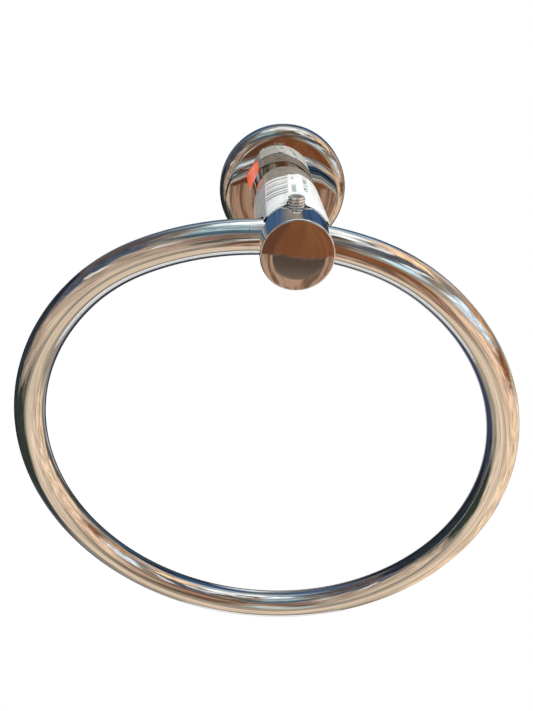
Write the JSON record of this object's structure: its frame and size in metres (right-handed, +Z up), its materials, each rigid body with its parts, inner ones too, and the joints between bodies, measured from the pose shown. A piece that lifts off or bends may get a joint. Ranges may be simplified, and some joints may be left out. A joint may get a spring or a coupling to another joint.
{
  "type": "wall towel ring",
  "caption": "Round-tube towel ring with a flattened top, hung through the cross bore of a round post on a domed wall cup and clamped by a grub screw.",
  "frame": {"origin": "middle of the cup's wall face, on the post's axis", "axes": "+Y into the wall along the post's axis, -Y towards the room, +Z up, the side the ring's grub screw is on, +X to the right seen from the room"},
  "size_m": [0.1679, 0.0601, 0.183],
  "materials": {
    "ring": "polished",
    "post": "polished",
    "cup": "polished",
    "steel": "plain",
    "plate": "zinc plated",
    "label": "matt paper"
  },
  "bodies": {
    "root": {"ring": "ring", "ring_spigot": "steel", "post": "post", "ring_grub_screw": "steel", "flange_cup": "cup", "post_screw": "steel", "wall_plate": "plate", "plate_grub_screw": "steel", "label": "label"}
  },
  "joints": []
}
